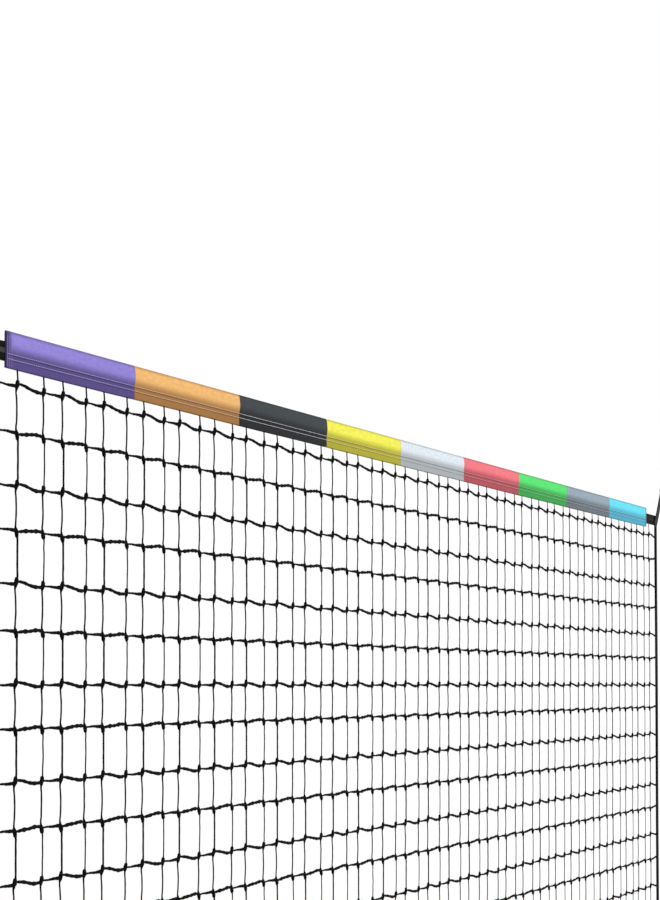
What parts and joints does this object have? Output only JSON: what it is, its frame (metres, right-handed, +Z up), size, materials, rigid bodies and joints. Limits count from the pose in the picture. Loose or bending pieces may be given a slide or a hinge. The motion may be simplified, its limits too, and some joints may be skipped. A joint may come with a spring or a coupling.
{
  "type": "portable pickleball net",
  "caption": "Free-standing portable pickleball net with a headband in coloured sections, bowed corner poles, a sectioned rail and swivelling cross feet.",
  "frame": {"origin": "on the floor, under the middle of the net", "axes": "+X along the net towards its cyan end, +Y through the net from front to back, +Z up"},
  "size_m": [3.152, 0.6476, 1.0135],
  "materials": {
    "purple_cloth": "woven polyester, matt",
    "orange_cloth": "woven polyester, matt",
    "charcoal_cloth": "woven polyester, matt",
    "yellow_cloth": "woven polyester, matt",
    "white_cloth": "woven polyester, matt",
    "red_cloth": "woven polyester, matt",
    "green_cloth": "woven polyester, matt",
    "grey_cloth": "woven polyester, matt",
    "cyan_cloth": "woven polyester, matt",
    "binding": "folded binding tape, matt",
    "webbing": "woven webbing",
    "strap": "woven webbing",
    "twine": "knotted twine",
    "coated_steel": "black powder coat",
    "fibreglass": "smooth, satin",
    "moulding": "fine grain",
    "boot_rubber": "matt",
    "zinc_steel": "bright zinc"
  },
  "bodies": {
    "net_and_frame": {"headband_purple": "purple_cloth", "headband_orange": "orange_cloth", "headband_charcoal": "charcoal_cloth", "headband_yellow": "yellow_cloth", "headband_white": "white_cloth", "headband_red": "red_cloth", "headband_green": "green_cloth", "headband_grey": "grey_cloth", "headband_cyan": "cyan_cloth", "side_tape_left": "binding", "side_tape_right": "binding", "bottom_tape": "binding", "headline_webbing": "webbing", "net_mesh": "twine", "corner_strap_left": "strap", "corner_strap_right": "strap", "anchor_strap_left": "strap", "anchor_strap_right": "strap", "buckle_tab_left": "strap", "buckle_tab_right": "strap", "pole_upper_left": "fibreglass", "pole_upper_right": "fibreglass", "pole_lower_left": "fibreglass", "pole_lower_right": "fibreglass", "pole_hook_left": "moulding", "pole_hook_right": "moulding", "rail_saddle_left": "moulding", "rail_saddle_right": "moulding", "ferrule_left": "coated_steel", "ferrule_right": "coated_steel", "pole_socket_left": "coated_steel", "pole_socket_right": "coated_steel", "rail_outer_left": "coated_steel", "rail_outer_right": "coated_steel", "rail_inner_left": "coated_steel", "rail_inner_right": "coated_steel", "spigot_left": "zinc_steel", "spigot_middle": "zinc_steel", "spigot_right": "zinc_steel", "button_spring_left": "zinc_steel", "button_spring_middle": "zinc_steel", "button_spring_right": "zinc_steel", "cam_buckle_left": "zinc_steel", "cam_buckle_right": "zinc_steel", "cam_pins": "zinc_steel", "swivel_bolts": "zinc_steel", "swivel_nuts": "zinc_steel"},
    "foot_left": {"foot_tube_left": "coated_steel", "foot_boots_left": "boot_rubber", "foot_saddle_left": "moulding"},
    "foot_right": {"foot_tube_right": "coated_steel", "foot_boots_right": "boot_rubber", "foot_saddle_right": "moulding"},
    "button_left": {"snap_button_left": "zinc_steel"},
    "button_middle": {"snap_button_middle": "zinc_steel"},
    "button_right": {"snap_button_right": "zinc_steel"},
    "lever_left": {"cam_lever_left": "moulding"},
    "lever_right": {"cam_lever_right": "moulding"}
  },
  "joints": [
    {"name": "foot_swivel_left", "type": "hinge", "parent": "net_and_frame", "child": "foot_left", "pos_m": [-1.4526, 0, 0.04483], "axis": [0, 0, 1], "range_deg": [-90, 90]},
    {"name": "foot_swivel_right", "type": "hinge", "parent": "net_and_frame", "child": "foot_right", "pos_m": [1.4526, 0, 0.04483], "axis": [0, 0, 1], "range_deg": [-90, 90]},
    {"name": "button_press_left", "type": "slide", "parent": "net_and_frame", "child": "button_left", "axis": [0, 0, -1], "range_m": [0, 0.005], "stiffness_N_per_m": 1200, "springref_m": -0.004, "deforming": ["button_spring_left"]},
    {"name": "button_press_middle", "type": "slide", "parent": "net_and_frame", "child": "button_middle", "axis": [0, 0, -1], "range_m": [0, 0.005], "stiffness_N_per_m": 1200, "springref_m": -0.004, "deforming": ["button_spring_middle"]},
    {"name": "button_press_right", "type": "slide", "parent": "net_and_frame", "child": "button_right", "axis": [0, 0, -1], "range_m": [0, 0.005], "stiffness_N_per_m": 1200, "springref_m": -0.004, "deforming": ["button_spring_right"]},
    {"name": "cam_open_left", "type": "hinge", "parent": "net_and_frame", "child": "lever_left", "pos_m": [-1.49538, 0.01735, 0.094], "axis": [0, 0, 1], "range_deg": [0, 100]},
    {"name": "cam_open_right", "type": "hinge", "parent": "net_and_frame", "child": "lever_right", "pos_m": [1.49538, 0.01735, 0.094], "axis": [0, 0, -1], "range_deg": [0, 100]}
  ]
}
